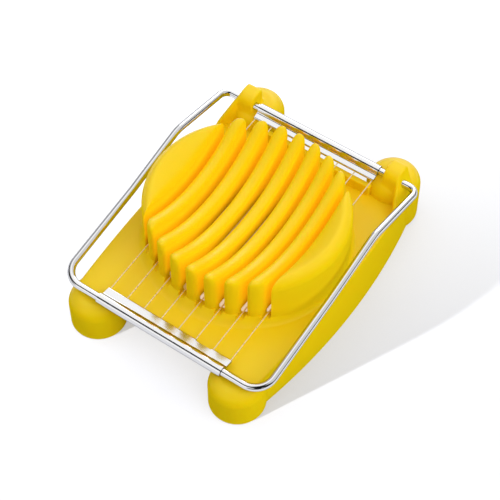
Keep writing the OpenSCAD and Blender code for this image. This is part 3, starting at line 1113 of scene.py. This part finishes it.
def studio_reflections(tree):
    """What polished parts mirror: a pale ceiling, dimmer sides, a dark boom and a dark camera."""
    brightest = 1.3
    # Directions. The two slanting axes run across the boom and across the line of sight.
    x, y, z = axes(tree, "Generated")
    ceiling = ramp(tree, z, ((0.0, 0.02), (0.2, 0.05), (0.34, 0.5), (0.5, 1.0), (1.0, 0.95)))
    sideways = maths(tree, "MULTIPLY_ADD", x, 0.5, 0.5)
    walls = ((0.0, 0.3), (0.15, 0.36), (0.3, 1.0), (0.42, 1.0), (0.6, 0.7), (1.0, 0.65))
    side = ramp(tree, sideways, walls)
    off_boom = maths(tree, "ABSOLUTE", slanting(tree, (0.84, y), (0.54, z)))
    boom = ramp(tree, off_boom, ((0.14, 0.0), (0.32, 1.0)))
    off_camera = maths(tree, "ABSOLUTE", slanting(tree, (0.82, x), (0.57, y)))
    behind_camera = maths(tree, "ADD", y, 0.3)
    off_body = maths(tree, "MAXIMUM", off_camera, behind_camera)
    body = ramp(tree, off_body, ((0.14, 0.02), (0.30, 1.0)))
    left_wall = ramp(tree, sideways, ((0.45, 1.0), (0.6, 0.0)))
    left_high = maths(tree, "MULTIPLY", ramp(tree, z, ((0.0, 0.7), (0.3, 1.0))), left_wall)
    dome = maths(tree, "MAXIMUM", ceiling, left_high)
    bright = maths(tree, "MULTIPLY", maths(tree, "MULTIPLY", dome, side), brightest)
    return maths(tree, "MULTIPLY", bright, maths(tree, "MINIMUM", boom, body))


def pale_world(s):
    """White to the camera, even pale light, and a studio for the polished parts to mirror."""
    world = bpy.data.worlds.new("Pale studio")
    bpy.context.scene.world = world
    world.use_nodes = True
    tree = world.node_tree
    glossy = seen_by(tree, "Is Glossy Ray")
    light = added(tree, "Mix", Factor=glossy, A=s.ambient, B=studio_reflections(tree))
    backdrop = seen_by(tree, "Is Camera Ray", "Is Transmission Ray")
    shade = maths(tree, "MAXIMUM", light.outputs["Result"], backdrop)
    set_inputs(tree.nodes["Background"], Color=shade)


def lamp(name, kind, power, place, aim):
    """A lamp at a place, turned to its aim and kept out of reflections."""
    data = bpy.data.lights.new(name, kind)
    data.energy = power
    obj = linked(data, name)
    obj.location = place
    obj.rotation_euler = (Vector(aim) - Vector(place)).to_track_quat("-Z", "Y").to_euler()
    obj.visible_glossy = False
    return obj


def soft_box(name, width, height, power, place):
    """A rectangular lamp that faces the part."""
    box = lamp(name, "AREA", power, place, aim=(0, 0, 0.02))
    box.data.shape = "RECTANGLE"
    box.data.size, box.data.size_y = width, height
    return box


def low_sun(strength, floor):
    """A low lamp that lights the floor alone, so that the part throws a long soft shadow."""
    sun = lamp("Low sun", "SUN", strength, (-0.425, -0.905, 0.152), aim=(0, 0, 0))
    sun.data.angle = math.radians(1.5)
    only = bpy.data.collections.new("Lit by the low sun")
    only.objects.link(floor)
    sun.light_linking.receiver_collection = only


def camera(s):
    """The scene's camera, turned about its aim."""
    data = bpy.data.cameras.new("Camera")
    data.sensor_width = 36
    data.lens = s.lens
    data.clip_start, data.clip_end = 0.01, 10
    obj = linked(data, "Camera")
    level = math.cos(s.rise)
    back = Vector((math.sin(s.turn) * level, -math.cos(s.turn) * level, math.sin(s.rise)))
    obj.rotation_mode = "QUATERNION"
    obj.location = Vector(s.aim) + back * s.reach
    roll = Matrix.Rotation(s.roll, 3, "Z").to_quaternion()
    obj.rotation_quaternion = (-back).to_track_quat("-Z", "Y") @ roll
    bpy.context.scene.camera = obj


# ---- operators


class SLICER_OT_base(bpy.types.Operator):
    """Model the moulded base"""

    bl_idname = "slicer.base"
    bl_label = "Moulded base"

    def execute(self, context):
        scene = context.scene
        keys = ("slicer_base", "slicer_ears", "slicer_crown", "slicer_wire")
        mesh = base_mesh(*(in_millimetres(getattr(scene, key)) for key in keys))
        material = finish_of("Moulded plastic", moulded_plastic, scene.slicer_finish)
        shown(mesh, "moulded_base", material, BASE_BODY, ["base"])
        return {"FINISHED"}


class SLICER_OT_frame_wire(bpy.types.Operator):
    """Model the bent frame wire"""

    bl_idname = "slicer.frame_wire"
    bl_label = "Frame wire"

    def execute(self, context):
        scene = context.scene
        material = finish_of("Plated chrome", plated_chrome, scene.slicer_finish)
        mesh = frame_wire_mesh(in_millimetres(scene.slicer_wire))
        shown(mesh, "bent_frame_wire", material, SWING_BODY, ["frame_wire"])
        return {"FINISHED"}


class SLICER_OT_strips(bpy.types.Operator):
    """Model the two crimped strips"""

    bl_idname = "slicer.strips"
    bl_label = "Crimped strips"

    def execute(self, context):
        scene = context.scene
        name, roughness = "Plated sheet", (0.10, 0.16)
        material = finish_of(name, plated_chrome, scene.slicer_finish, name, roughness)
        t, w = in_millimetres(scene.slicer_strip), in_millimetres(scene.slicer_wire)
        front = strip_mesh(t, w.bar_y, w.bar_z, t.front_y, t.front_z, t.notch_x)
        shown(front, "crimped_front_strip", material, SWING_BODY, ["front_strip"])
        rear = strip_mesh(t, w.hinge_y, w.hinge_z, t.rear_y, t.rear_z)
        shown(rear, "crimped_rear_strip", material, SWING_BODY, ["rear_strip"])
        return {"FINISHED"}


class SLICER_OT_cutting_wires(bpy.types.Operator):
    """Finish the cutting wires"""

    bl_idname = "slicer.cutting_wires"
    bl_label = "Cutting wires"

    def execute(self, context):
        material = finish_of("Drawn steel", drawn_steel, context.scene.slicer_finish)
        for node in WIRE_NODES:
            refinish(node, material)
        return {"FINISHED"}


class SLICER_OT_stage(bpy.types.Operator):
    """Set the floor, the lamps and the camera"""

    bl_idname = "slicer.stage"
    bl_label = "Stage"

    def execute(self, context):
        scene = context.scene
        scene.view_settings.view_transform = "Standard"
        bm = bmesh.new()
        bmesh.ops.create_grid(bm, x_segments=1, y_segments=1, size=3)
        floor = linked(mesh_of(bm, "floor"), "floor")
        floor.data.materials.append(floor_material(scene.slicer_finish))
        pale_world(scene.slicer_stage)
        soft_box("Key", 0.8, 0.8, 4.0, (0.56, -0.06, 0.60))
        soft_box("Fill", 0.8, 0.8, 1.7, (-0.44, -0.12, 0.62))
        soft_box("Window", 0.6, 0.3, 1.3, (-0.30, 0.80, 0.42)).visible_glossy = True
        low_sun(scene.slicer_stage.sun, floor)
        camera(scene.slicer_stage)
        return {"FINISHED"}


class SLICER_PT_panel(bpy.types.Panel):
    """Lists the slicer's pieces"""

    bl_label = "Egg slicer"
    bl_idname = "SLICER_PT_panel"
    bl_space_type = "VIEW_3D"
    bl_region_type = "UI"
    bl_category = "Egg slicer"

    def draw(self, context):
        for operator in OPERATORS:
            self.layout.operator(operator.bl_idname)


OPERATORS = (
    SLICER_OT_base,
    SLICER_OT_frame_wire,
    SLICER_OT_strips,
    SLICER_OT_cutting_wires,
    SLICER_OT_stage,
)
CLASSES = (*GROUPS.values(), *OPERATORS, SLICER_PT_panel)


def register():
    for cls in CLASSES:
        bpy.utils.register_class(cls)
    for key, group in GROUPS.items():
        setattr(bpy.types.Scene, key, PointerProperty(type=group))


def unregister():
    for key in GROUPS:
        delattr(bpy.types.Scene, key)
    for cls in reversed(CLASSES):
        bpy.utils.unregister_class(cls)


def main():
    register()
    bpy.ops.slicer.base()
    bpy.ops.slicer.frame_wire()
    bpy.ops.slicer.strips()
    bpy.ops.slicer.cutting_wires()
    bpy.ops.slicer.stage()


if __name__ == "__main__":
    main()
